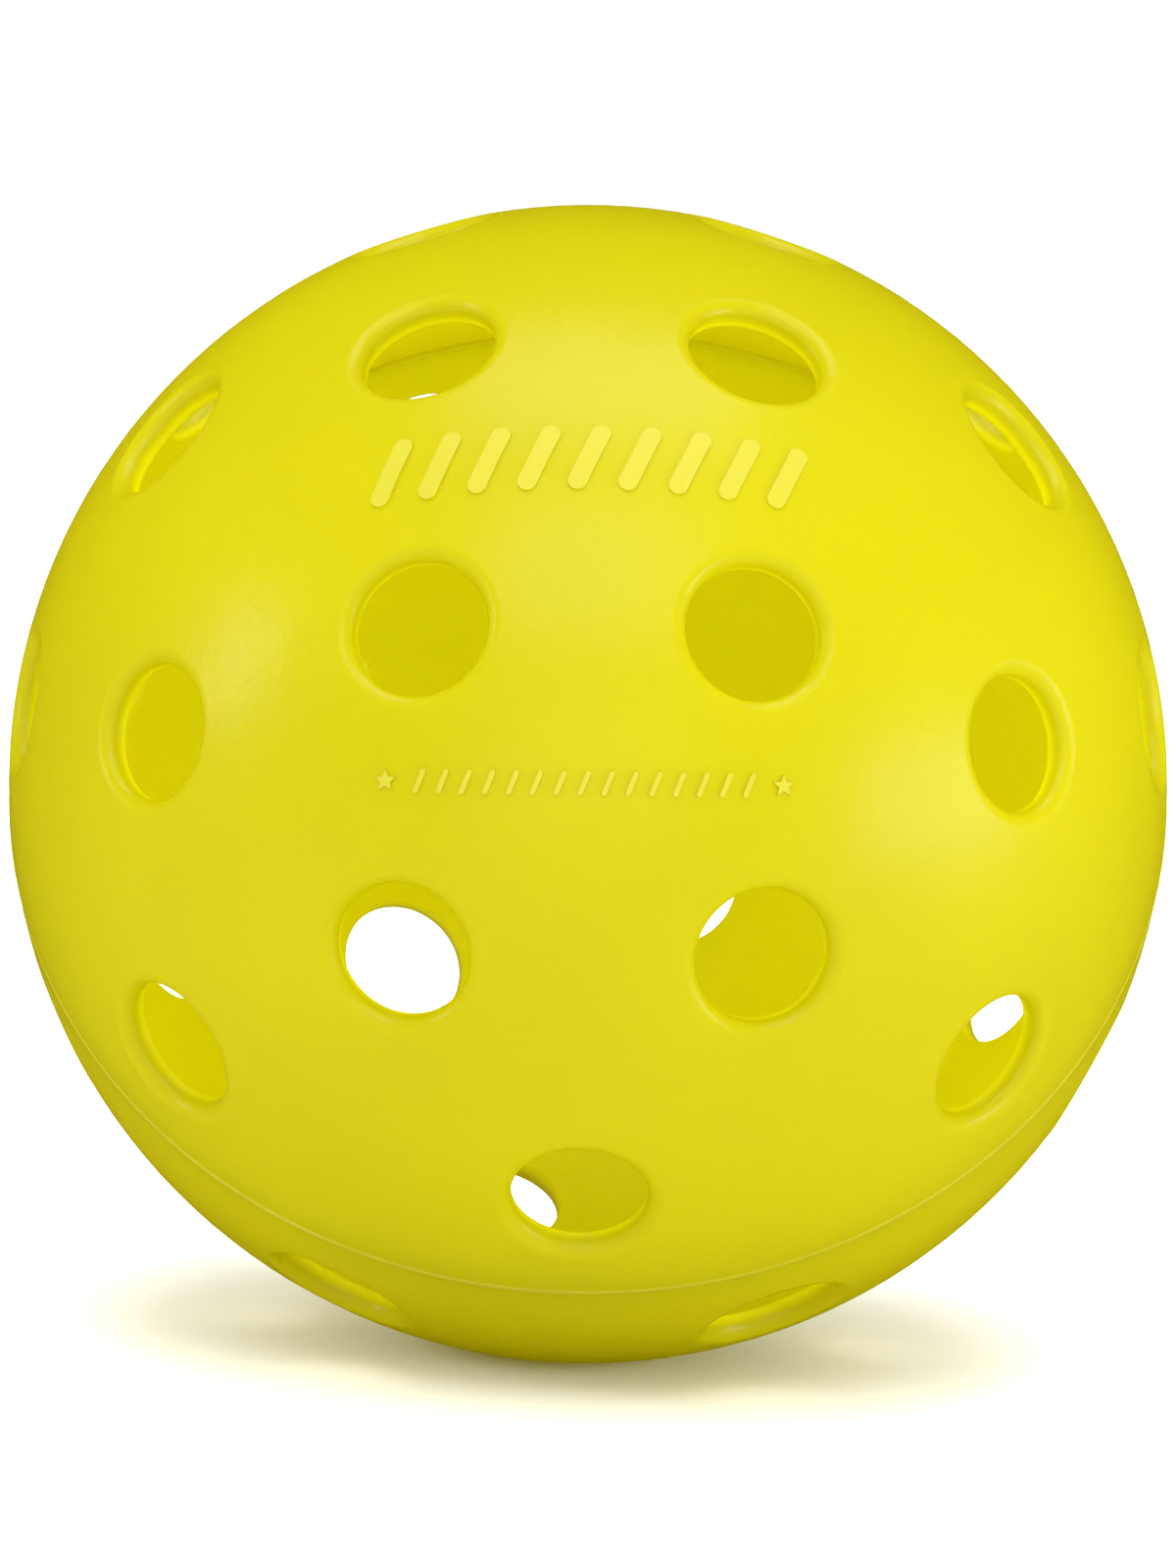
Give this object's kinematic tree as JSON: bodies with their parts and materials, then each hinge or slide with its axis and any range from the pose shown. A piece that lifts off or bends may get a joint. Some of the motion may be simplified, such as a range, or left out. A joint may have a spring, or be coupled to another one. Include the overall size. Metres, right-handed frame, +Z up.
{
  "type": "pickleball ball",
  "caption": "Hollow perforated plastic ball: two welded half shells with round air holes.",
  "frame": {"origin": "centre of the ball", "axes": "the ball rests on the rim of one hole of its lower half, which points along -Z; +Z is up; the tilted seam plane contains the X axis, and the upper half's pole points between -Y and +Z"},
  "size_m": [0.0742, 0.074, 0.0736],
  "materials": {
    "shell": "satin, slightly see-through moulded polyethylene",
    "weld": "satin, re-set plastic at the weld"
  },
  "bodies": {
    "root": {"upper_half": "shell", "lower_half": "shell", "weld_bead": "weld"}
  },
  "joints": []
}
